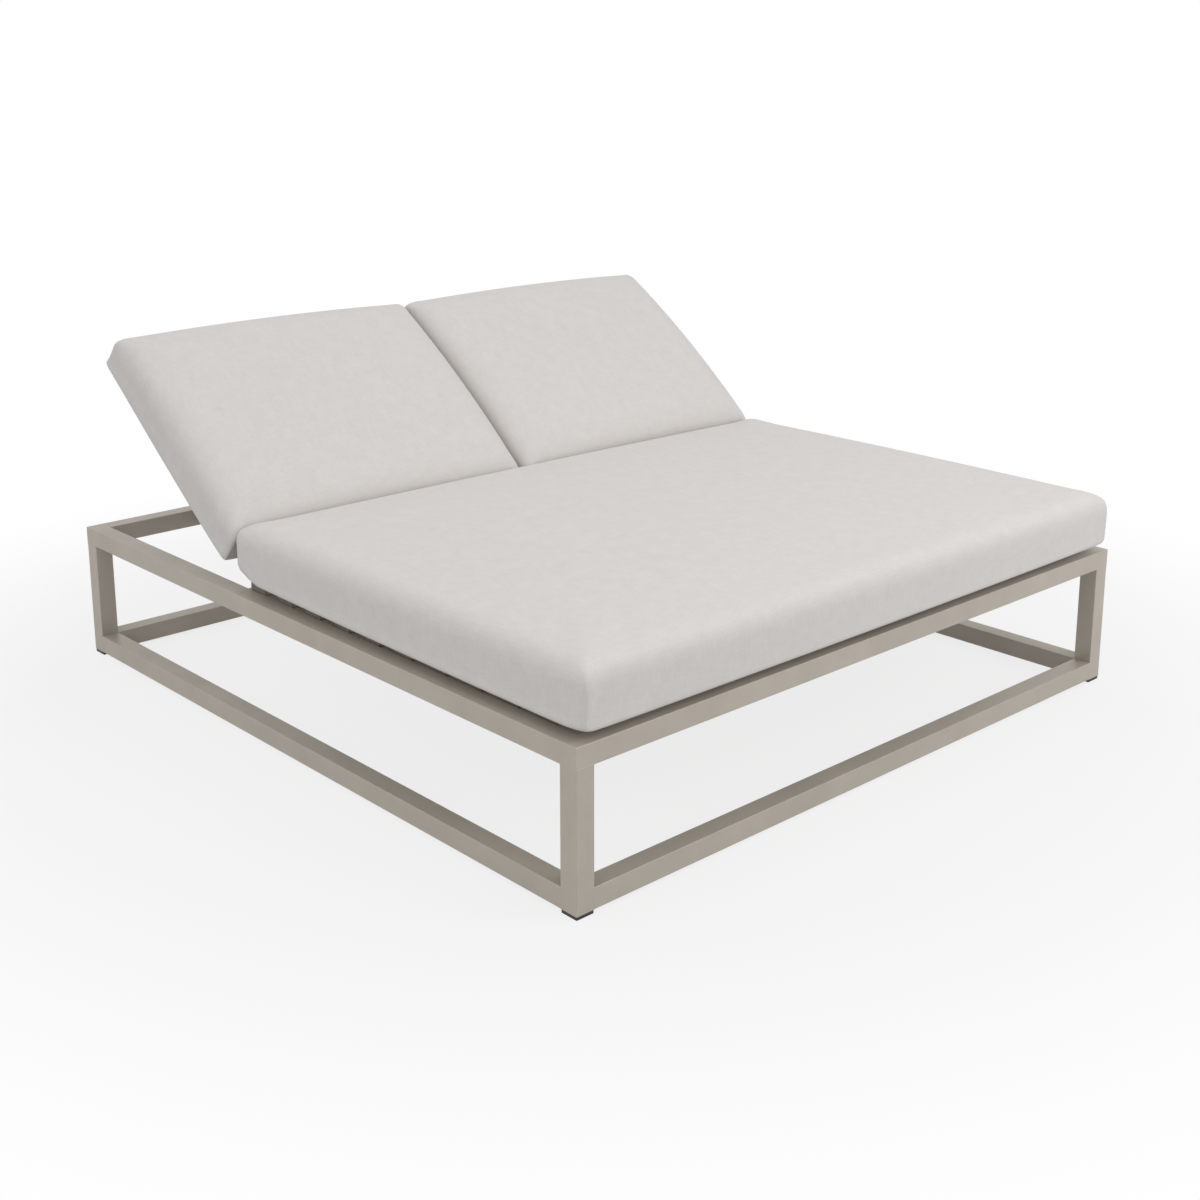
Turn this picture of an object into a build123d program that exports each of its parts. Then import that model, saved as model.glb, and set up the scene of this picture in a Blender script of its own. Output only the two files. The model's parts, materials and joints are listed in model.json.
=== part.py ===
from build123d import *
from math import cos, radians, sin, sqrt
import os

# Double chaise lounger, in millimetres.
# +Z is up, +Y runs from the foot end to the head end, +X across the width.
# The origin is on the floor under the middle of the base frame.

# Base frame: square tube, posts between a mitred top ring and butted bottom rails
frame_length = 1910
frame_width = 1780
frame_height = 335
tube_size = 45
tube_wall = 1.5
tube_edge_radius = 1.5

# Foot caps: a square pad under each post with a plug inside it
foot_height = 8
foot_inset = 1
foot_plug_depth = 22
foot_plug_clearance = 0.2
foot_plug_wall = 3
foot_edge_radius = 1.5

# Deck under the seat cushion
deck_rise = 17
slat_count = 10
slat_width = 60
slat_thickness = 20
slat_wall = 1.2
slat_edge_radius = 1.5
slat_end_clearance = 2
slat_cap_thickness = 1.5
slat_cap_plug = 12
slat_cap_clearance = 0.1
first_slat_gap = 60
last_slat_gap = 25
ledge_leg = 25
ledge_wall = 3
beam_width = 40
beam_height = 40
beam_wall = 1.5
screw_shank_radius = 2.5
screw_hole_clearance = 0.2
screw_head_radius = 4.5
screw_head_height = 3
screw_reach = 6
screw_edge_distance = 12

# Back hinges
hinge_y = 245
hinge_drop = 10
hinge_beam_depth = 40
hinge_beam_height = 30
hinge_beam_wall = 2
hinge_beam_clearance = 10
hinge_pin_radius = 5
hinge_pin_head_radius = 8
hinge_pin_head_height = 3.5
hinge_running_clearance = 0.05
bush_wall = 3
bush_flange_thickness = 1
bush_flange_radius = 11
bracket_thickness = 5
bracket_radius = 13
bracket_side_clearance = 0.5

# Back frames
back_angle = 37
back_angle_max = 41
back_side_clearance = 36
back_middle_gap = 86
back_stile_width = 30
back_tube_thickness = 20
back_tube_wall = 1.5
back_rail_width = 20
back_low_rail_start = 14
back_head_clearance = 10
back_front_overhang = 10
back_slat_count = 6
back_slat_width = 50
back_slat_thickness = 3
back_slat_margin = 24

# Props that hold the backs up
prop_rod_radius = 6
prop_width = 360
prop_bend_radius = 24
prop_eye_radius = 11
prop_eye_thickness = 10
prop_clearance = 4
prop_lug_thickness = 5
prop_lug_gap = 1
prop_lug_edge = 10
prop_crossbar_gap = 10
prop_pin_head_radius = 7
prop_pin_head_height = 2

# Rack bars with notches for the props
rack_spacing = 300
rack_thickness = 8
rack_height = 30
rack_crest_clearance = 0.4
rack_notch_depth = 5
rack_notch_clearance = 0.6
rack_rest_notch_count = 1
rack_extra_notch_count = 3
rack_end_margin = 9
pad_width = 20
pad_length = 16
pad_leg_drop = 8
pad_clearance = 0.3

# Cushions
rest_gap = 0.3
side_overhang = -13
foot_overhang = 23
cushion_gap = 6
cushion_corner_radius = 28
cushion_draw_in = 5
seat_cushion_thickness = 137
seat_cushion_edge = 48
seat_cushion_crown = 8
back_cushion_start = 58
back_cushion_overhang = 56
back_cushion_thickness = 124
back_cushion_edge = 50
back_cushion_crown = 8
cushion_press_gap = 7
# Each level of a cushion's side: height and inset as shares of its edge radius
lower_level_shares = ((0.0, 0.26), (0.12, 0.07), (0.4, 0.01))
upper_level_shares = ((0.62, 0.02), (0.22, 0.2), (0.03, 0.62))
# Each level of the crown: height as a share of the crown, inset as a share of half the length
crown_level_shares = ((0.45, 0.3), (0.85, 0.55), (1.0, 0.8))

os.makedirs("parts", exist_ok=True)

# Levels and places that follow from the sizes
half_length = frame_length / 2
half_width = frame_width / 2
frame_top = foot_height + frame_height
rail_bottom = frame_top - tube_size
inner_y = half_length - tube_size
inner_x = half_width - tube_size
deck_top = frame_top + deck_rise
slat_bottom = deck_top - slat_thickness
hinge_z = deck_top - hinge_drop
back_half_tube = back_tube_thickness / 2
hinge_beam_top = hinge_z - back_half_tube - hinge_beam_clearance
hinge_beam_front = hinge_y - hinge_beam_depth / 2
hinge_beam_back = hinge_y + hinge_beam_depth / 2
sides = {"left": -1, "right": 1}

# The raised backs: u runs up a back from its hinge, v stands square to it
lean = radians(back_angle)
up_back = Vector(0, cos(lean), sin(lean))
off_back = Vector(0, -sin(lean), cos(lean))
hinge_origin = Vector(0, hinge_y, hinge_z)
back_plane = Plane(origin=hinge_origin, x_dir=(1, 0, 0), z_dir=off_back)
back_reach = inner_y - hinge_y - back_head_clearance
back_frame_width = inner_x - back_side_clearance - back_middle_gap / 2
back_frame_centre = (back_middle_gap + back_frame_width) / 2
back_cushion_half = half_width + side_overhang
back_cushion_width = back_cushion_half - cushion_gap / 2
back_cushion_centre = cushion_gap / 2 + back_cushion_width / 2
back_cushion_length = back_reach + back_cushion_overhang - back_cushion_start
back_surface = back_half_tube + back_slat_thickness

# The prop and its pivot: hinge to pivot and pivot to foot rod are one length,
# so the foot rod stays level with the hinge at every angle
prop_arm = (back_reach - back_rail_width - prop_clearance - prop_rod_radius) / 2
prop_pivot = hinge_origin + up_back * prop_arm
prop_foot_y = hinge_y + 2 * prop_arm * cos(lean)
prop_foot_max_y = hinge_y + 2 * prop_arm * cos(radians(back_angle_max))
notch_pitch = (prop_foot_y - prop_foot_max_y) / rack_rest_notch_count
notch_count = rack_rest_notch_count + 1 + rack_extra_notch_count
rack_crest = hinge_z - prop_rod_radius - rack_crest_clearance

# The seat cushion stops where the back cushion's lower end leaves it room at full height
steep = radians(back_angle_max)
end_u = back_cushion_start + back_cushion_edge
end_v = back_surface + rest_gap + back_cushion_thickness - back_cushion_edge
end_y = hinge_y + end_u * cos(steep) - end_v * sin(steep)
end_z = hinge_z + end_u * sin(steep) + end_v * cos(steep)
seat_base = deck_top + rest_gap
seat_corner_z = seat_base + seat_cushion_thickness - seat_cushion_edge
press_reach = back_cushion_edge + seat_cushion_edge + cushion_press_gap
press_lift = min(max(end_z - seat_corner_z, 0), press_reach)
seat_rear = end_y - sqrt(press_reach**2 - press_lift**2) + seat_cushion_edge
seat_front = -half_length - foot_overhang


def save(part, name):
    """Label a finished piece and write it."""
    part.label = name
    export_step(part, f"parts/{name}.step")


def tube_profile(width, height, wall, radius):
    """The section of a rectangular tube with eased edges."""
    RectangleRounded(width, height, radius)
    inner = max(radius - wall, radius / 2)
    RectangleRounded(width - 2 * wall, height - 2 * wall, inner, mode=Mode.SUBTRACT)


# Posts
post_length = rail_bottom - foot_height
corners = {
    "foot_left": (-1, -1),
    "foot_right": (1, -1),
    "head_left": (-1, 1),
    "head_right": (1, 1),
}
for corner, (sx, sy) in corners.items():
    post_x = sx * (half_width - tube_size / 2)
    post_y = sy * (half_length - tube_size / 2)
    with BuildPart() as post:
        with BuildSketch(Plane.XY.offset(foot_height)):
            with Locations((post_x, post_y)):
                tube_profile(tube_size, tube_size, tube_wall, tube_edge_radius)
        extrude(amount=post_length)
    save(post.part, f"post_{corner}")

    # Foot cap with a hollow plug
    pad_size = tube_size - 2 * foot_inset
    plug_size = tube_size - 2 * tube_wall - 2 * foot_plug_clearance
    with BuildPart() as foot:
        with BuildSketch():
            with Locations((post_x, post_y)):
                RectangleRounded(pad_size, pad_size, foot_edge_radius)
        extrude(amount=foot_height)
        chamfer(foot.faces().sort_by(Axis.Z)[0].edges(), foot_edge_radius / 2)
        with BuildSketch(Plane.XY.offset(foot_height)):
            with Locations((post_x, post_y)):
                RectangleRounded(plug_size, plug_size, foot_edge_radius)
                Rectangle(
                    plug_size - 2 * foot_plug_wall,
                    plug_size - 2 * foot_plug_wall,
                    mode=Mode.SUBTRACT,
                )
        extrude(amount=foot_plug_depth)
    save(foot.part, f"foot_cap_{corner}")

# Top ring: four rails, mitred at the corners
ring_z = frame_top - tube_size / 2
for side, sx in sides.items():
    rail_x = sx * (half_width - tube_size / 2)
    with BuildPart() as side_rail:
        with BuildSketch(Plane.XZ.offset(-half_length)):
            with Locations((rail_x, ring_z)):
                tube_profile(tube_size, tube_size, tube_wall, tube_edge_radius)
        extrude(amount=frame_length)
        for sy in (-1, 1):
            mitre = Plane(origin=(sx * half_width, sy * half_length, 0), z_dir=(sx, -sy, 0))
            split(bisect_by=mitre, keep=Keep.TOP)
    save(side_rail.part, f"top_rail_{side}")

for end, sy in (("foot", -1), ("head", 1)):
    rail_y = sy * (half_length - tube_size / 2)
    with BuildPart() as end_rail:
        with BuildSketch(Plane.YZ.offset(-half_width)):
            with Locations((rail_y, ring_z)):
                tube_profile(tube_size, tube_size, tube_wall, tube_edge_radius)
        extrude(amount=frame_width)
        for sx in (-1, 1):
            mitre = Plane(origin=(sx * half_width, sy * half_length, 0), z_dir=(-sx, sy, 0))
            split(bisect_by=mitre, keep=Keep.TOP)
    save(end_rail.part, f"top_rail_{end}")

# Bottom rails, cut square between the posts
low_z = foot_height + tube_size / 2
for side, sx in sides.items():
    with BuildPart() as low_side:
        with BuildSketch(Plane.XZ.offset(-inner_y)):
            with Locations((sx * (half_width - tube_size / 2), low_z)):
                tube_profile(tube_size, tube_size, tube_wall, tube_edge_radius)
        extrude(amount=2 * inner_y)
    save(low_side.part, f"bottom_rail_{side}")

for end, sy in (("foot", -1), ("head", 1)):
    with BuildPart() as low_end:
        with BuildSketch(Plane.YZ.offset(-inner_x)):
            with Locations((sy * (half_length - tube_size / 2), low_z)):
                tube_profile(tube_size, tube_size, tube_wall, tube_edge_radius)
        extrude(amount=2 * inner_x)
    save(low_end.part, f"bottom_rail_{end}")

# Seat slats: flat tubes across the frame, with a screw hole near each end
slat_first_y = -inner_y + first_slat_gap + slat_width / 2
slat_last_y = hinge_y - last_slat_gap - slat_width / 2
slat_pitch = (slat_last_y - slat_first_y) / (slat_count - 1)
slat_places = [slat_first_y + i * slat_pitch for i in range(slat_count)]
slat_half = inner_x - slat_end_clearance - slat_cap_thickness
screw_x = inner_x - screw_edge_distance
screw_hole_radius = screw_shank_radius + screw_hole_clearance
for number, slat_y in enumerate(slat_places, start=1):
    with BuildPart() as slat:
        with BuildSketch(Plane.YZ.offset(-slat_half)):
            with Locations((slat_y, deck_top - slat_thickness / 2)):
                tube_profile(slat_width, slat_thickness, slat_wall, slat_edge_radius)
        extrude(amount=2 * slat_half)
        with BuildSketch(Plane.XY.offset(slat_bottom)):
            with Locations((-screw_x, slat_y), (screw_x, slat_y)):
                Circle(screw_hole_radius)
        extrude(amount=slat_thickness / 2, mode=Mode.SUBTRACT)
    save(slat.part, f"seat_slat_{number:02d}")

# Plastic caps in the ends of the slats
cap_width = slat_width - 2 * slat_wall - 2 * slat_cap_clearance
cap_height = slat_thickness - 2 * slat_wall - 2 * slat_cap_clearance
cap_plug = min(slat_cap_plug, screw_edge_distance - screw_shank_radius - slat_end_clearance)
with BuildPart() as slat_caps:
    for sx in (-1, 1):
        cap_plane = Plane(
            origin=(sx * slat_half, 0, deck_top - slat_thickness / 2), x_dir=(0, 1, 0), z_dir=(sx, 0, 0)
        )
        with BuildSketch(cap_plane):
            with Locations(*[(y, 0) for y in slat_places]):
                RectangleRounded(slat_width, slat_thickness, slat_edge_radius)
        extrude(amount=slat_cap_thickness)
        with BuildSketch(cap_plane):
            with Locations(*[(y, 0) for y in slat_places]):
                RectangleRounded(cap_width, cap_height, slat_edge_radius)
        extrude(amount=-cap_plug / 2)
save(slat_caps.part, "slat_end_caps")

# Ledges: angles on the side rails that the slats are screwed to
ledge_length = hinge_beam_front + inner_y
for side, sx in sides.items():
    with BuildPart() as ledge:
        with BuildSketch(Plane.XZ.offset(inner_y)):
            with Locations((sx * (inner_x - ledge_leg / 2), slat_bottom - ledge_wall / 2)):
                Rectangle(ledge_leg, ledge_wall)
            with Locations((sx * (inner_x - ledge_wall / 2), slat_bottom - ledge_leg / 2)):
                Rectangle(ledge_wall, ledge_leg)
        extrude(amount=-ledge_length)
        with BuildSketch(Plane.XY.offset(slat_bottom - ledge_wall)):
            with Locations(*[(sx * screw_x, y) for y in slat_places]):
                Circle(screw_hole_radius)
        extrude(amount=ledge_wall, mode=Mode.SUBTRACT)
    save(ledge.part, f"ledge_{side}")

# Screws up through the ledges into the slats
with BuildPart() as screws:
    screw_points = [(sx * screw_x, y) for sx in (-1, 1) for y in slat_places]
    with BuildSketch(Plane.XY.offset(slat_bottom - ledge_wall)):
        with Locations(*screw_points):
            Circle(screw_head_radius)
    extrude(amount=-screw_head_height)
    with BuildSketch(Plane.XY.offset(slat_bottom - ledge_wall)):
        with Locations(*screw_points):
            Circle(screw_shank_radius)
    extrude(amount=ledge_wall + screw_reach)
save(screws.part, "slat_screws")

# Centre beam under the slats
with BuildPart() as beam:
    with BuildSketch(Plane.XZ.offset(inner_y)):
        with Locations((0, slat_bottom - beam_height / 2)):
            tube_profile(beam_width, beam_height, beam_wall, tube_edge_radius)
    extrude(amount=-ledge_length)
save(beam.part, "centre_beam")

# Hinge beam across the frame, under the back hinges
with BuildPart() as hinge_beam:
    with BuildSketch(Plane.YZ.offset(-inner_x)):
        with Locations((hinge_y, hinge_beam_top - hinge_beam_height / 2)):
            tube_profile(hinge_beam_depth, hinge_beam_height, hinge_beam_wall, tube_edge_radius)
    extrude(amount=2 * inner_x)
save(hinge_beam.part, "hinge_beam")

# Hinge stations: on the outer face of each stile, outward direction and stile face
stations = []
for side, sx in sides.items():
    for edge in (-1, 1):
        face_x = sx * back_frame_centre + edge * back_frame_width / 2
        stations.append((side, edge, face_x))
bush_gap = bush_flange_thickness + bracket_side_clearance
bush_radius = hinge_pin_radius + hinge_running_clearance + bush_wall

# Hinge brackets: upright plates with a round top, welded on the hinge beam
with BuildPart() as brackets:
    for side, edge, face_x in stations:
        plate_plane = Plane(
            origin=(face_x + edge * bush_gap, hinge_y, hinge_z), x_dir=(0, edge, 0), z_dir=(edge, 0, 0)
        )
        foot_drop = hinge_z - hinge_beam_top
        with BuildSketch(plate_plane):
            Circle(bracket_radius)
            with Locations((0, -foot_drop / 2)):
                Rectangle(2 * bracket_radius, foot_drop)
            Circle(bush_radius, mode=Mode.SUBTRACT)
        extrude(amount=bracket_thickness)
save(brackets.part, "hinge_brackets")

# Flanged bushes in the brackets
with BuildPart() as bushes:
    for side, edge, face_x in stations:
        bush_plane = Plane(
            origin=(face_x + edge * bush_gap, hinge_y, hinge_z), x_dir=(0, edge, 0), z_dir=(edge, 0, 0)
        )
        with BuildSketch(bush_plane):
            Circle(bush_radius)
            Circle(hinge_pin_radius + hinge_running_clearance, mode=Mode.SUBTRACT)
        extrude(amount=bracket_thickness)
        with BuildSketch(bush_plane):
            Circle(bush_flange_radius)
            Circle(hinge_pin_radius + hinge_running_clearance, mode=Mode.SUBTRACT)
        extrude(amount=-bush_flange_thickness)
save(bushes.part, "hinge_bushes")

# Rack bars: a notched strip on edge, from the hinge beam to the head rail
rack_base = hinge_beam_top - rack_height
notch_radius = prop_rod_radius + rack_notch_clearance
crest_start = prop_foot_max_y - notch_pitch / 2 - rack_end_margin
crest_end = prop_foot_max_y + (notch_count - 1) * notch_pitch + notch_radius + rack_end_margin
notch_base = rack_crest - rack_notch_depth + notch_radius
for side, sx in sides.items():
    for place, edge in (("inner", -sx), ("outer", sx)):
        bar_x = sx * back_frame_centre + edge * rack_spacing / 2 - rack_thickness / 2
        with BuildPart() as rack:
            with BuildSketch(Plane.YZ.offset(bar_x)):
                with BuildLine():
                    Polyline(
                        (hinge_beam_back, rack_base),
                        (inner_y, rack_base),
                        (inner_y, hinge_beam_top),
                        (crest_end, hinge_beam_top),
                        (crest_end, rack_crest),
                        (crest_start, rack_crest),
                        (crest_start, hinge_beam_top),
                        (hinge_beam_back, hinge_beam_top),
                        close=True,
                    )
                make_face()
                notches = [(prop_foot_max_y + i * notch_pitch, notch_base) for i in range(notch_count)]
                with Locations(*notches):
                    Circle(notch_radius, mode=Mode.SUBTRACT)
                with Locations(*[(y, notch_base + notch_radius) for y, z in notches]):
                    Rectangle(2 * notch_radius, 2 * notch_radius, mode=Mode.SUBTRACT)
            extrude(amount=rack_thickness)
        save(rack.part, f"rack_bar_{side}_{place}")

# Rubber pads that straddle the rack bars under the top rails of the backs
pad_y = hinge_y + back_reach - back_rail_width / 2
pad_top = hinge_z - back_half_tube - pad_clearance
with BuildPart() as pads:
    for sx in (-1, 1):
        for edge in (-1, 1):
            bar_centre = sx * back_frame_centre + edge * rack_spacing / 2
            pad_base = hinge_beam_top - pad_leg_drop
            with BuildSketch(Plane.XZ.offset(-pad_y - pad_length / 2)):
                with Locations((bar_centre, (pad_top + pad_base) / 2)):
                    Rectangle(pad_width, pad_top - pad_base)
                with Locations((bar_centre, hinge_beam_top - pad_leg_drop / 2)):
                    Rectangle(rack_thickness, pad_leg_drop, mode=Mode.SUBTRACT)
            extrude(amount=pad_length)
save(pads.part, "back_rest_pads")


# Back frames, built on the raised plane
def along_back(u):
    """The plane across a back at u from its hinge, with x across and y off the back."""
    return Plane(origin=hinge_origin + up_back * u, x_dir=(-1, 0, 0), z_dir=up_back)


stile_inset = back_frame_width / 2 - back_stile_width / 2
cross_half = back_frame_width / 2 - back_stile_width
prop_crossbar_top = prop_arm - prop_eye_radius - prop_crossbar_gap
lug_offset = prop_rod_radius + prop_lug_gap + prop_lug_thickness / 2
for side, sx in sides.items():
    centre = sx * back_frame_centre

    for place, edge in (("inner", -sx), ("outer", sx)):
        with BuildPart() as stile:
            with BuildSketch(along_back(-back_front_overhang)):
                with Locations((-(centre + edge * stile_inset), 0)):
                    tube_profile(back_stile_width, back_tube_thickness, back_tube_wall, slat_edge_radius)
            extrude(amount=back_reach + back_front_overhang)
            pin_bore = hinge_pin_radius + hinge_running_clearance
            bore_plane = Plane(origin=(centre + edge * cross_half, hinge_y, hinge_z), z_dir=(edge, 0, 0))
            with BuildSketch(bore_plane):
                Circle(pin_bore)
            extrude(amount=back_stile_width, mode=Mode.SUBTRACT)
        save(stile.part, f"back_stile_{side}_{place}")

    # Cross rails between the stiles
    for name, start, width in (
        ("back_bottom_rail", back_low_rail_start, back_stile_width),
        ("back_top_rail", back_reach - back_rail_width, back_rail_width),
    ):
        with BuildPart() as cross:
            rail_plane = Plane(
                origin=hinge_origin + up_back * (start + width / 2) + Vector(centre - cross_half, 0, 0),
                x_dir=up_back,
                z_dir=(1, 0, 0),
            )
            with BuildSketch(rail_plane):
                tube_profile(width, back_tube_thickness, back_tube_wall, slat_edge_radius)
            extrude(amount=2 * cross_half)
        save(cross.part, f"{name}_{side}")

    # Crossbar with the ears that carry the prop
    with BuildPart() as crossbar:
        bar_plane = Plane(
            origin=hinge_origin
            + up_back * (prop_crossbar_top - back_rail_width / 2)
            + Vector(centre - cross_half, 0, 0),
            x_dir=up_back,
            z_dir=(1, 0, 0),
        )
        with BuildSketch(bar_plane):
            tube_profile(back_rail_width, back_tube_thickness, back_tube_wall, slat_edge_radius)
        extrude(amount=2 * cross_half)
        for edge in (-1, 1):
            for lean_out in (-1, 1):
                lug_x = centre + edge * prop_width / 2 + lean_out * lug_offset
                lug_plane = Plane(
                    origin=prop_pivot + Vector(lug_x - prop_lug_thickness / 2, 0, 0),
                    x_dir=up_back,
                    z_dir=(1, 0, 0),
                )
                ear = prop_arm - prop_crossbar_top
                with BuildSketch(lug_plane):
                    Circle(prop_lug_edge)
                    with Locations((-ear / 2, 0)):
                        Rectangle(ear, 2 * prop_lug_edge)
                    Circle(hinge_pin_radius + hinge_running_clearance, mode=Mode.SUBTRACT)
                extrude(amount=prop_lug_thickness)
    save(crossbar.part, f"prop_crossbar_{side}")

    # Flat slats over the back frame
    slat_span = back_reach - 2 * back_slat_margin - back_slat_width
    with BuildPart() as back_slats:
        for i in range(back_slat_count):
            u = back_slat_margin + back_slat_width / 2 + i * slat_span / (back_slat_count - 1)
            with BuildSketch(back_plane.offset(back_half_tube)):
                with Locations((centre, u)):
                    RectangleRounded(back_frame_width, back_slat_width, slat_edge_radius)
            extrude(amount=back_slat_thickness)
    save(back_slats.part, f"back_slats_{side}")

    # Hinge pins, headed on the outside of the brackets
    with BuildPart() as pins:
        for edge in (-1, 1):
            face_x = centre + edge * back_frame_width / 2
            head_x = face_x + edge * (bush_gap + bracket_thickness + bracket_side_clearance)
            pin_plane = Plane(origin=(head_x, hinge_y, hinge_z), z_dir=(edge, 0, 0))
            pin_length = bush_gap + bracket_thickness + bracket_side_clearance + back_stile_width
            with BuildSketch(pin_plane):
                Circle(hinge_pin_head_radius)
            extrude(amount=hinge_pin_head_height)
            with BuildSketch(pin_plane):
                Circle(hinge_pin_radius)
            extrude(amount=-pin_length)
    save(pins.part, f"hinge_pins_{side}")

    # Prop: one bent rod with an eye at each end
    down_prop = Vector(0, cos(lean), -sin(lean))
    prop_plane = Plane(
        origin=prop_pivot + Vector(centre, 0, 0), x_dir=(1, 0, 0), z_dir=(0, sin(lean), cos(lean))
    )
    half_prop = prop_width / 2
    eye_start = hinge_pin_radius + prop_rod_radius / 2
    with BuildPart() as prop:
        with BuildLine(prop_plane) as route:
            FilletPolyline(
                (-half_prop, eye_start),
                (-half_prop, prop_arm),
                (half_prop, prop_arm),
                (half_prop, eye_start),
                radius=prop_bend_radius,
            )
        with BuildSketch(Plane(origin=route.line @ 0, z_dir=route.line % 0)):
            Circle(prop_rod_radius)
        sweep()
        for edge in (-1, 1):
            eye_plane = Plane(
                origin=prop_pivot + Vector(centre + edge * half_prop - prop_eye_thickness / 2, 0, 0),
                x_dir=down_prop,
                z_dir=(1, 0, 0),
            )
            with BuildSketch(eye_plane):
                Circle(prop_eye_radius)
            extrude(amount=prop_eye_thickness)
            with BuildSketch(eye_plane):
                Circle(hinge_pin_radius + hinge_running_clearance)
            extrude(amount=prop_eye_thickness, mode=Mode.SUBTRACT)
    save(prop.part, f"prop_{side}")

    # Pins through the ears and the prop's eyes
    with BuildPart() as prop_pins:
        for edge in (-1, 1):
            pin_half = lug_offset + prop_lug_thickness / 2
            pin_plane = Plane(
                origin=prop_pivot + Vector(centre + edge * half_prop - pin_half, 0, 0), z_dir=(1, 0, 0)
            )
            with BuildSketch(pin_plane):
                Circle(hinge_pin_radius)
            extrude(amount=2 * pin_half)
            for head_plane, way in ((pin_plane, -1), (pin_plane.offset(2 * pin_half), 1)):
                with BuildSketch(head_plane):
                    Circle(prop_pin_head_radius)
                extrude(amount=way * prop_pin_head_height)
    save(prop_pins.part, f"prop_pins_{side}")


# Cushions
def cushion_level(plane, centre_x, width, start, length, inset):
    """One outline of a cushion, with sides drawn in between rounded corners."""
    x0 = centre_x - width / 2 + inset
    x1 = centre_x + width / 2 - inset
    y0 = start + inset
    y1 = start + length - inset
    mid_x = (x0 + x1) / 2
    mid_y = (y0 + y1) / 2
    with BuildSketch(plane) as outline:
        with BuildLine():
            ThreePointArc((x0, y0), (mid_x, y0 + cushion_draw_in), (x1, y0))
            ThreePointArc((x1, y0), (x1 - cushion_draw_in, mid_y), (x1, y1))
            ThreePointArc((x1, y1), (mid_x, y1 - cushion_draw_in), (x0, y1))
            ThreePointArc((x0, y1), (x0 + cushion_draw_in, mid_y), (x0, y0))
        make_face()
        fillet(outline.vertices(), cushion_corner_radius)
    return outline.sketch


def cushion(name, plane, centre_x, width, start, length, thickness, edge, crown):
    """A box cushion with round edges, drawn-in sides and a crowned top."""
    levels = [(height * edge, inset * edge) for height, inset in lower_level_shares]
    levels += [(thickness - height * edge, inset * edge) for height, inset in upper_level_shares]
    half = min(width, length) / 2
    levels += [(thickness + height * crown, inset * half) for height, inset in crown_level_shares]
    outlines = [
        cushion_level(plane.offset(height), centre_x, width, start, length, inset)
        for height, inset in levels
    ]
    with BuildPart() as pad:
        loft(sections=outlines, ruled=True)
    save(pad.part, name)


cushion(
    "seat_cushion",
    Plane.XY.offset(seat_base),
    0,
    2 * back_cushion_half,
    seat_front,
    seat_rear - seat_front,
    seat_cushion_thickness,
    seat_cushion_edge,
    seat_cushion_crown,
)
for side, sx in sides.items():
    cushion(
        f"back_cushion_{side}",
        back_plane.offset(back_surface + rest_gap),
        sx * back_cushion_centre,
        back_cushion_width,
        back_cushion_start,
        back_cushion_length,
        back_cushion_thickness,
        back_cushion_edge,
        back_cushion_crown,
    )

print(f"hinge axis y {hinge_y:.1f} z {hinge_z:.1f}, seat cushion rear end y {seat_rear:.1f}")
print(f"prop arm {prop_arm:.2f}, pivot {tuple(round(c, 2) for c in prop_pivot)}, foot y {prop_foot_y:.2f}")
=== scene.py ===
import json
import math

import bmesh
import bpy
from mathutils import Matrix, Vector


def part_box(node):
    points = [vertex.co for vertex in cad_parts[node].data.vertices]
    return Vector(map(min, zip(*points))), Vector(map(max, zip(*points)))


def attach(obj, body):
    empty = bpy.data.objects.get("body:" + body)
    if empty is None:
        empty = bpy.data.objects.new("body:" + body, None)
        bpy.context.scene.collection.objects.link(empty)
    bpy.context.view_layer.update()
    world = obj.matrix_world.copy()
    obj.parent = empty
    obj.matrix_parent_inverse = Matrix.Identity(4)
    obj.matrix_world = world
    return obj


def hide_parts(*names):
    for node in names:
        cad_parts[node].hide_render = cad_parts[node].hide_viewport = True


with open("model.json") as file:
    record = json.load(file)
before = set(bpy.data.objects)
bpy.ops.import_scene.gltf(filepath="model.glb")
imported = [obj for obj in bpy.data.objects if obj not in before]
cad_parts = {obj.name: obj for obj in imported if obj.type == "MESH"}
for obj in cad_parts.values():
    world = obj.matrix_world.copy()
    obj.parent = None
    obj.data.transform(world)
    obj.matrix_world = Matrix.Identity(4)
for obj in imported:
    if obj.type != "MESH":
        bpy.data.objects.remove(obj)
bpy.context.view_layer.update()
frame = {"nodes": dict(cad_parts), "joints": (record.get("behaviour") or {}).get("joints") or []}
nodes = frame["nodes"]

# The viewpoint: a standing viewer at the foot end's left corner, looking across the lounger.
# The lens is shifted a little, so that the posts stay nearly upright in the picture.
camera_data = bpy.data.cameras.new("viewpoint")
camera_data.sensor_width = 36
camera_data.lens = 50.05
camera_data.shift_y = -0.125
camera_data.clip_start = 0.05
camera_data.clip_end = 60
camera = bpy.data.objects.new("viewpoint", camera_data)
camera.location = (-2.738, -3.0215, 1.572)
heading = math.radians(42.694)
downward = math.radians(13.767)
camera.rotation_euler = (math.pi / 2 - downward, 0, -heading)
bpy.context.scene.collection.objects.link(camera)
bpy.context.scene.camera = camera


# Powder-coated steel tube, bar and rod: posts, rails, slats, beams, back frames, props and racks.
# The coat is a satin taupe with a little pearl in it, baked on, with a faint orange-peel surface.
def new_material(name):
    """An empty node material with its output and one principled shader."""
    material = bpy.data.materials.new(name)
    material.use_nodes = True
    tree = material.node_tree
    tree.nodes.clear()
    output = tree.nodes.new("ShaderNodeOutputMaterial")
    shader = tree.nodes.new("ShaderNodeBsdfPrincipled")
    tree.links.new(shader.outputs["BSDF"], output.inputs["Surface"])
    return material, tree, shader


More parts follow.
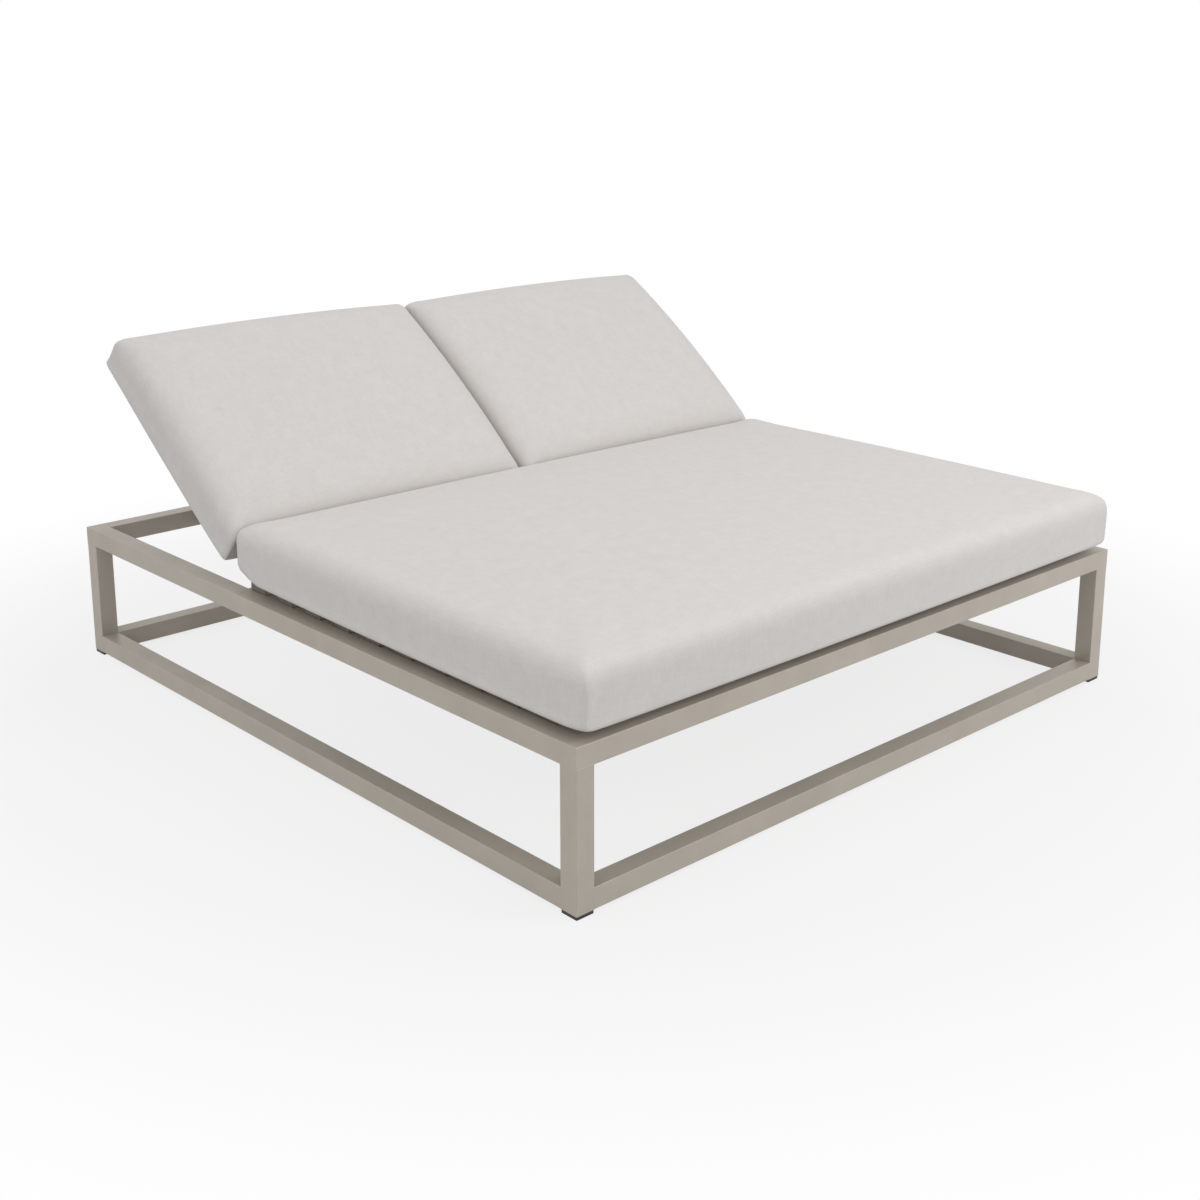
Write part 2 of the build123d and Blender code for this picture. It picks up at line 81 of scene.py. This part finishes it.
def add_node(tree, kind, inputs=None, **settings):
    """A node with its settings and its unlinked values or linked sockets."""
    node = tree.nodes.new(kind)
    for key, value in settings.items():
        setattr(node, key, value)
    for key, value in (inputs or {}).items():
        if isinstance(value, bpy.types.NodeSocket):
            tree.links.new(value, node.inputs[key])
        else:
            node.inputs[key].default_value = value
    return node


def srgb(red, green, blue):
    """A colour picked on a screen, from 0 to 255, as the shader's linear values."""
    shares = [value / 255 for value in (red, green, blue)]
    linear = [s / 12.92 if s <= 0.04045 else ((s + 0.055) / 1.055) ** 2.4 for s in shares]
    return (*linear, 1)


def mottled_colour(tree, coords, dark, light, scale, detail=3):
    """Colour that drifts between two tones."""
    cloud = add_node(
        tree, "ShaderNodeTexNoise", {"Vector": coords, "Scale": scale, "Detail": detail, "Roughness": 0.6}
    )
    spread = add_node(
        tree,
        "ShaderNodeMapRange",
        {"Value": cloud.outputs["Fac"], "From Min": 0.3, "From Max": 0.7, "To Min": 0, "To Max": 1},
    )
    mix = add_node(tree, "ShaderNodeMix", {"Factor": spread.outputs["Result"]}, data_type="RGBA")
    # A Mix node has its colour sockets after those for numbers and vectors
    first_colour, second_colour = mix.inputs[6], mix.inputs[7]
    mixed_colour = mix.outputs[2]
    first_colour.default_value = dark
    second_colour.default_value = light
    return mixed_colour


def powder_coat(name, dark, light):
    """Baked powder: a satin sheen over a faint orange peel."""
    material, tree, shader = new_material(name)
    coords = add_node(tree, "ShaderNodeTexCoord").outputs["Object"]
    tree.links.new(mottled_colour(tree, coords, dark, light, scale=9), shader.inputs["Base Color"])
    peel = add_node(
        tree, "ShaderNodeTexNoise", {"Vector": coords, "Scale": 620, "Detail": 2, "Roughness": 0.5}
    )
    patch = add_node(tree, "ShaderNodeTexNoise", {"Vector": coords, "Scale": 6, "Detail": 4})
    gloss = add_node(
        tree,
        "ShaderNodeMapRange",
        {"Value": patch.outputs["Fac"], "From Min": 0.3, "From Max": 0.7, "To Min": 0.4, "To Max": 0.5},
    )
    tree.links.new(gloss.outputs["Result"], shader.inputs["Roughness"])
    bump = add_node(
        tree, "ShaderNodeBump", {"Height": peel.outputs["Fac"], "Strength": 0.12, "Distance": 0.0004}
    )
    tree.links.new(bump.outputs["Normal"], shader.inputs["Normal"])
    shader.inputs["Metallic"].default_value = 0.15
    return material


def named_nodes(*starts):
    """The names of the carried-over pieces that start in one of these ways."""
    return [name for name in nodes if name.startswith(starts)]


def finish_nodes(material, *names):
    """Gives carried-over pieces one finish."""
    for name in names:
        mesh = nodes[name].data
        mesh.materials.clear()
        mesh.materials.append(material)


coat = powder_coat("taupe_powder_coat", srgb(172, 164, 153), srgb(180, 172, 161))
base_tubes = named_nodes("post_", "top_rail_", "bottom_rail_")
deck_pieces = named_nodes("seat_slat_", "ledge_", "rack_bar_")
back_frames = named_nodes("back_stile_", "back_top_rail_", "back_bottom_rail_", "back_slats_")
crossbars = named_nodes("prop_crossbar_")
finish_nodes(coat, *base_tubes, *deck_pieces, *back_frames, *crossbars)
finish_nodes(coat, "centre_beam", "hinge_beam", "hinge_brackets", "prop_left", "prop_right")


# Welds where the posts meet the rails: run right round each joint and ground almost flush.
# The coat goes over them, so only a faint band shows.
def new_piece(name, bm):
    """A new object at the origin, made from a bmesh."""
    mesh = bpy.data.meshes.new(name)
    bm.to_mesh(mesh)
    bm.free()
    piece = bpy.data.objects.new(name, mesh)
    bpy.context.scene.collection.objects.link(piece)
    return piece


def weld_bands(name, joints, side, height, wall, ease):
    """One mesh of square bands, each round a tube end at a place and along an axis."""
    bm = bmesh.new()
    for place, axis in joints:
        made = bmesh.ops.create_cube(bm, size=1)["verts"]
        bm.normal_update()
        faces = dict.fromkeys(face for vert in made for face in vert.link_faces)
        open_ends = [face for face in faces if round(face.normal.z)]
        bmesh.ops.delete(bm, geom=open_ends, context="FACES_ONLY")
        turn = Vector((0, 0, 1)).rotation_difference(Vector(axis)).to_matrix().to_4x4()
        bmesh.ops.scale(bm, vec=(side, side, height), verts=made)
        bmesh.ops.transform(bm, matrix=Matrix.Translation(place) @ turn, verts=made)
    bmesh.ops.solidify(bm, geom=bm.faces[:], thickness=wall)
    bmesh.ops.recalc_face_normals(bm, faces=bm.faces[:])
    sharp = [edge for edge in bm.edges if edge.calc_face_angle(0) > math.pi / 4]
    bmesh.ops.bevel(
        bm, geom=sharp, offset=ease, segments=2, profile=0.5, affect="EDGES", material=-1, clamp_overlap=True
    )
    return new_piece(name, bm)


post_low, post_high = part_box("post_foot_left")
foot_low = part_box("bottom_rail_foot")[0]
side_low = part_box("bottom_rail_left")[0]
post_centre = (post_low + post_high) / 2
tube_side = post_high.x - post_low.x
rail_middle = post_low.z + tube_side / 2
weld_rise = 0.0002
weld_height = 0.006
weld_wall = 0.003
weld_ease = 0.0014
weld_joints = []
for sx in (1, -1):
    for sy in (1, -1):
        weld_joints.append(((sx * post_centre.x, sy * post_centre.y, post_high.z), (0, 0, 1)))
        weld_joints.append(((sx * foot_low.x, sy * post_centre.y, rail_middle), (1, 0, 0)))
        weld_joints.append(((sx * post_centre.x, sy * side_low.y, rail_middle), (0, 1, 0)))
weld_side = tube_side + 2 * weld_rise
welds = weld_bands("ground_welds", weld_joints, weld_side, weld_height, weld_wall, weld_ease)
welds.data.materials.append(coat)
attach(welds, "base")


# Foot caps, slat end caps, hinge bushes and rest pads: mouldings pushed into or on to the metal.
# The foot caps are black plastic, the slat caps match the coat, the bushes are nylon and the
# pads rubber. All have a fine matt grain.
def moulded_plastic(name, colour, grain=900, roughness=0.55):
    """Plastic or rubber with a fine spark-eroded grain."""
    material, tree, shader = new_material(name)
    coords = add_node(tree, "ShaderNodeTexCoord").outputs["Object"]
    grain_contrast = 1.3
    lighter = tuple(min(1, value * grain_contrast) for value in colour[:3]) + (1,)
    tree.links.new(mottled_colour(tree, coords, colour, lighter, scale=40), shader.inputs["Base Color"])
    pits = add_node(tree, "ShaderNodeTexNoise", {"Vector": coords, "Scale": grain, "Detail": 2})
    bump = add_node(
        tree, "ShaderNodeBump", {"Height": pits.outputs["Fac"], "Strength": 0.2, "Distance": 0.0003}
    )
    tree.links.new(bump.outputs["Normal"], shader.inputs["Normal"])
    shader.inputs["Roughness"].default_value = roughness
    return material


finish_nodes(moulded_plastic("foot_cap_plastic", srgb(34, 33, 32)), *named_nodes("foot_cap_"))
finish_nodes(moulded_plastic("slat_cap_plastic", srgb(112, 105, 97), grain=700), "slat_end_caps")
finish_nodes(moulded_plastic("bush_nylon", srgb(52, 52, 54), grain=400, roughness=0.4), "hinge_bushes")
finish_nodes(moulded_plastic("pad_rubber", srgb(26, 26, 26), grain=700, roughness=0.8), "back_rest_pads")


# Pins and screws: the hinge pins, the prop pivots and the screws that hold the slats.
# They are turned steel with a bright zinc plate, whose shine is slightly uneven.
def plated_steel(name):
    """Bright zinc plate over steel."""
    material, tree, shader = new_material(name)
    coords = add_node(tree, "ShaderNodeTexCoord").outputs["Object"]
    plate = mottled_colour(tree, coords, srgb(150, 150, 150), srgb(182, 182, 180), scale=120)
    tree.links.new(plate, shader.inputs["Base Color"])
    shader.inputs["Metallic"].default_value = 1
    shader.inputs["Roughness"].default_value = 0.32
    return material


finish_nodes(plated_steel("zinc_plate"), "slat_screws", *named_nodes("hinge_pins_", "prop_pins_"))


# Seat cushion: one foam block in a sewn cover of plain outdoor weave, laid loose on the slats.
# The cover is cut a little small, so the foam fills it to soft round edges, a low crown and
# thin corners.
def woven_cover(name, dark, light, tilt=0):
    """Plain outdoor weave: threads of uneven yarn, tilted with the piece that they cover."""
    material, tree, shader = new_material(name)
    coords = add_node(tree, "ShaderNodeTexCoord").outputs["Object"]
    turned = add_node(tree, "ShaderNodeMapping", {"Vector": coords, "Rotation": (tilt, 0, 0)})
    cloth = turned.outputs["Vector"]
    dyed = mottled_colour(tree, cloth, dark, light, scale=30, detail=4)
    threads = []
    for stretch in ((1, 0.05, 1), (0.05, 1, 1), (1, 1, 0.05)):
        lay = add_node(tree, "ShaderNodeMapping", {"Vector": cloth, "Scale": stretch})
        yarn = add_node(
            tree,
            "ShaderNodeTexNoise",
            {"Vector": lay.outputs["Vector"], "Scale": 560, "Detail": 2, "Roughness": 0.5},
        )
        threads.append(yarn.outputs["Fac"])
    weave = threads[0]
    for thread in threads[1:]:
        weave = add_node(tree, "ShaderNodeMath", {0: weave, 1: thread}, operation="ADD").outputs[0]
    shade = add_node(
        tree,
        "ShaderNodeMapRange",
        {"Value": weave, "From Min": 1.1, "From Max": 1.9, "To Min": 0.94, "To Max": 1.05},
    )
    tinted = add_node(
        tree, "ShaderNodeVectorMath", {0: dyed, "Scale": shade.outputs["Result"]}, operation="SCALE"
    )
    tree.links.new(tinted.outputs["Vector"], shader.inputs["Base Color"])
    bump = add_node(tree, "ShaderNodeBump", {"Height": weave, "Strength": 0.25, "Distance": 0.0008})
    tree.links.new(bump.outputs["Normal"], shader.inputs["Normal"])
    shader.inputs["Roughness"].default_value = 0.92
    shader.inputs["Sheen Weight"].default_value = 0.1
    shader.inputs["Sheen Roughness"].default_value = 0.5
    shader.inputs["Specular IOR Level"].default_value = 0.2
    return material


def box_of(points):
    """The low and high corners of the box round some points."""
    low = Vector([min(p[i] for p in points) for i in range(3)])
    high = Vector([max(p[i] for p in points) for i in range(3)])
    return low, high


def fit_box(points, low, high):
    """Scales points, so that they just fill a box."""
    found_low, found_high = box_of(points)
    scale = [(high[i] - low[i]) / (found_high[i] - found_low[i]) for i in range(3)]
    return [Vector([low[i] + (p[i] - found_low[i]) * scale[i] for i in range(3)]) for p in points]


def swell_cover(piece, cap, rest_height):
    """Blows the cover up from inside by cloth simulation; no point moves much further than the cap."""
    mesh = piece.data
    start = [vertex.co.copy() for vertex in mesh.vertices]
    lowest = min(p.z for p in start)
    rests = piece.vertex_groups.new(name="rests")
    rests.add([i for i, p in enumerate(start) if p.z < lowest + rest_height], 1, "REPLACE")
    last_frame = 20
    cloth = piece.modifiers.new("cover", "CLOTH")
    cloth.settings.quality = 4
    cloth.settings.use_pressure = True
    cloth.settings.uniform_pressure_force = 4
    cloth.settings.effector_weights.gravity = 0
    cloth.settings.vertex_group_mass = "rests"
    cloth.collision_settings.use_collision = False
    cloth.point_cache.frame_start = 1
    cloth.point_cache.frame_end = last_frame
    for number in range(1, last_frame + 1):
        bpy.context.scene.frame_set(number)
    graph = bpy.context.evaluated_depsgraph_get()
    swollen = piece.evaluated_get(graph).to_mesh()
    ends = [vertex.co.copy() for vertex in swollen.vertices]
    piece.evaluated_get(graph).to_mesh_clear()
    piece.modifiers.clear()
    piece.vertex_groups.clear()
    bpy.context.scene.frame_set(1)
    for vertex, begin, end in zip(mesh.vertices, start, ends):
        move = end - begin
        if move.length > 0:
            vertex.co = begin + move * (cap * math.tanh(move.length / cap) / move.length)


def side_depth(p, half, corner):
    """How far a point lies inside the cover's outline, and the way in from there."""
    inward = (half.x - abs(p.x), half.y - abs(p.y))
    middle = (inward[0] + inward[1]) / 2
    lean = (inward[0] - inward[1]) / 2
    if abs(lean) < corner / 2:
        reach = math.sqrt(corner**2 / 2 - lean**2)
        ways = (1 - lean / reach, 1 + lean / reach)
        depth = middle - corner + reach
    else:
        ways = (1, 0) if lean < 0 else (0, 1)
        depth = min(inward)
    way_in = Vector((-math.copysign(ways[0], p.x), -math.copysign(ways[1], p.y), 0))
    return depth, way_in * (sum(ways) / (ways[0] ** 2 + ways[1] ** 2))


def roll_edges(p, half, rolls, corner):
    """Moves a point of a plain box on to one with tight plan corners and full, rolled edges."""
    fullness = 2.5  # 2 would roll the edge as a quarter circle
    depth, way_in = side_depth(p, half, corner)
    roll = rolls[0] if p.z > 0 else rolls[1]
    new_depth = max(depth, 0)
    height = abs(p.z)
    side = Vector((roll - new_depth, height - (half.z - roll)))
    if side.x > 0 and side.y > 0:
        side *= roll / (side.x**fullness + side.y**fullness) ** (1 / fullness)
        new_depth = roll - side.x
        height = half.z - roll + side.y
    moved = p + way_in * (new_depth - depth)
    moved.z = math.copysign(height, p.z)
    return moved


def fill_out(block_point, half, shape):
    """Where a point of the plain block lies on the filled cover, before it swells."""
    top_corner, side_corner, low_corner = shape["corners"]
    foot_tuck, rear_tuck = shape["tuck"]
    side_bow, foot_bow, rear_bow = shape["bow"]
    tuck_reach = 0.05  # how far from a corner the underside rises
    bow_fade = 8  # the power by which the bow fades inwards
    height = block_point.z / half.z
    end_corner = top_corner if height > 0 else low_corner
    corner = side_corner + (end_corner - side_corner) * height**2
    p = roll_edges(block_point, half, shape["rolls"], corner)
    across = p.x / half.x
    along = p.y / half.y
    level = max(0, p.z / half.z)
    crown = shape["crown"] * level * (1 - across**2) * (1 - along**2)
    p.z += crown - shape["pinch"] * level * (across * along) ** 2
    if p.z < 0:
        to_corner = (half.x - abs(p.x)) ** 2 + (half.y - abs(p.y)) ** 2
        p.z += (foot_tuck if p.y < 0 else rear_tuck) * math.exp(-to_corner / tuck_reach**2)
    p.x += math.copysign(side_bow * (1 - along**2), p.x) * abs(across) ** bow_fade
    p.y += (rear_bow if p.y > 0 else -foot_bow) * (1 - across**2) * abs(along) ** bow_fade
    return p


def stuffed_block(name, low, high, shape):
    """A foam block in its cover: rolled edges, a crowned top that thins at the corners, full sides."""
    low = low + Vector(shape["low_shift"])
    high = high + Vector(shape["high_shift"])
    size = high - low
    half = size / 2
    bm = bmesh.new()
    bmesh.ops.create_cube(bm, size=1)
    bmesh.ops.scale(bm, vec=size, verts=bm.verts)
    piece = new_piece(name, bm)
    remesh = piece.modifiers.new("panels", "REMESH")
    remesh.mode = "VOXEL"
    remesh.voxel_size = shape["cell"]
    remesh.use_smooth_shade = True
    graph = bpy.context.evaluated_depsgraph_get()
    panels = bpy.data.meshes.new_from_object(piece.evaluated_get(graph))
    piece.modifiers.clear()
    piece.data = panels
    for vertex in panels.vertices:
        vertex.co = fill_out(vertex.co, half, shape)
    swell_cover(piece, shape["swell"], shape["rolls"][1] / 2)
    filled = fit_box([vertex.co.copy() for vertex in panels.vertices], low, high)
    for vertex, place in zip(panels.vertices, filled):
        left = (high.x - place.x) / size.x
        rear = max(0, (place.y - low.y) / size.y) ** 2
        vertex.co = place + Vector((0, 0, shape["lift"] * left * rear))
    smooth = piece.modifiers.new("smooth", "SUBSURF")
    smooth.levels = 1
    smooth.render_levels = 1
    return piece


seat_shape = {
    "low_shift": (-0.002, 0.014, 0),  # the filled cover's low corner against its solid's
    "high_shift": (0.004, 0.019, 0.004),  # its high corner
    "cell": 0.015,  # of the mesh
    "rolls": (0.056, 0.012),  # radius of the top edges and of the bottom edges
    "corners": (0.018, 0.014, 0.028),  # plan radius at the top, halfway up and at the bottom
    "crown": 0.006,  # rise of the top's middle
    "pinch": 0.005,  # drop of the top's corners
    "tuck": (0.002, 0.02),  # rise of the underside at the foot corners and at the rear corners
    "bow": (0, 0.006, 0),  # fullness of the long sides, the foot end and the rear end
    "lift": 0.01,  # rise of the whole left rear corner
    "swell": 0.006,  # how far the simulation may move a point
}
seat = stuffed_block("seat_cover", *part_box("seat_cushion"), seat_shape)
seat.data.materials.append(woven_cover("seat_weave", srgb(206, 202, 199), srgb(210, 206, 203)))
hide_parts("seat_cushion")
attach(seat, "base")


# Back cushions: the same foam and cover, one on each reclining frame, laid on its flat slats; their cover is
# painted a few levels darker than the seat's, as painted shade.
# They are built flat at the hinge and then turned up to the raised back.
recline = next(joint for joint in frame["joints"] if joint["name"] == "back_left_recline")
back_angle = -math.radians(recline["range_deg"][0])
hinge = Vector(recline["pos_m"])
raised = Matrix.Translation((0, hinge.y, hinge.z)) @ Matrix.Rotation(back_angle, 4, "X")
# The backs' weave is the seat's weave with painted shade: its two tones are a few levels darker.
back_weave_painted_shade = woven_cover("back_weave_painted_shade", srgb(204, 200, 197), srgb(208, 204, 201), -back_angle)
back_shape = {
    "low_shift": (-0.003, 0.001, -0.002),
    "high_shift": (0.003, 0.011, 0.012),
    "cell": 0.01,
    "rolls": (0.076, 0.016),
    "corners": (0.038, 0.014, 0.01),
    "crown": 0.006,
    "pinch": 0.021,
    "tuck": (0.003, 0),
    "bow": (0.003, 0.002, 0.001),
    "lift": 0,
    "swell": 0.006,
}
for side in ("left", "right"):
    name = f"back_cushion_{side}"
    flat = [raised.inverted() @ vertex.co for vertex in nodes[name].data.vertices]
    back = stuffed_block(f"back_cover_{side}", *box_of(flat), back_shape)
    back.data.transform(raised)
    back.data.materials.append(back_weave_painted_shade)
    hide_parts(name)
    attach(back, f"back_{side}")


# The studio: a pale floor that keeps the soft shadow, a white surround and broad lamps.
# The floor and the surround look white, also in reflections, but light the lounger less.
def background_rays(tree):
    """1 for the rays that see a white background: those from the camera and off glossy surfaces."""
    path = add_node(tree, "ShaderNodeLightPath")
    seen = add_node(
        tree,
        "ShaderNodeMath",
        {0: path.outputs["Is Camera Ray"], 1: path.outputs["Is Glossy Ray"]},
        operation="MAXIMUM",
    )
    return seen.outputs[0]


bm = bmesh.new()
bmesh.ops.create_circle(bm, cap_ends=True, segments=96, radius=30)
floor = new_piece("studio_floor", bm)
floor_material, tree, shader = new_material("studio_floor")
shader.inputs["Base Color"].default_value = (0.55, 0.55, 0.55, 1)
shader.inputs["Roughness"].default_value = 0.9
shader.inputs["Specular IOR Level"].default_value = 0.1
coords = add_node(tree, "ShaderNodeTexCoord").outputs["Object"]
distance = add_node(tree, "ShaderNodeVectorMath", {0: coords}, operation="LENGTH")
fade = add_node(
    tree,
    "ShaderNodeMapRange",
    {"Value": distance.outputs["Value"], "From Min": 1.3, "From Max": 2.4, "To Min": 0.8, "To Max": 1},
    interpolation_type="SMOOTHSTEP",
)
share = add_node(
    tree, "ShaderNodeMath", {0: fade.outputs["Result"], 1: background_rays(tree)}, operation="MULTIPLY"
)
white = add_node(tree, "ShaderNodeEmission", {"Color": (1, 1, 1, 1), "Strength": 1})
blend = add_node(
    tree,
    "ShaderNodeMixShader",
    {0: share.outputs[0], 1: shader.outputs["BSDF"], 2: white.outputs["Emission"]},
)
output = next(node for node in tree.nodes if node.type == "OUTPUT_MATERIAL")
tree.links.new(blend.outputs["Shader"], output.inputs["Surface"])
floor.data.materials.append(floor_material)

world = bpy.data.worlds.new("studio")
world.use_nodes = True
tree = world.node_tree
tree.nodes.clear()
strength = add_node(
    tree, "ShaderNodeMapRange", {"Value": background_rays(tree), "To Min": 0.72, "To Max": 1}
)
surround = add_node(
    tree, "ShaderNodeBackground", {"Color": (1, 1, 1, 1), "Strength": strength.outputs["Result"]}
)
world_output = add_node(tree, "ShaderNodeOutputWorld")
tree.links.new(surround.outputs["Background"], world_output.inputs["Surface"])
bpy.context.scene.world = world

# Each lamp's place, width and power; all look at the middle of the lounger
lamps = {
    "overhead": ((0.4, -0.6, 4.2), 3.5, 27),
    "foot_fill": ((1.6, -4.2, 2.5), 2.5, 64),
    "left_fill": ((-4.2, -0.6, 2.5), 2.5, 28),
}
lamp_aim = Vector((0, 0, 0.4))
for lamp_name, (place, width, power) in lamps.items():
    lamp_data = bpy.data.lights.new(lamp_name, "AREA")
    lamp_data.size = width
    lamp_data.energy = power
    lamp = bpy.data.objects.new(lamp_name, lamp_data)
    lamp.location = place
    lamp.rotation_euler = (lamp_aim - Vector(place)).to_track_quat("-Z", "Y").to_euler()
    bpy.context.scene.collection.objects.link(lamp)

bpy.context.scene.view_settings.view_transform = "Standard"
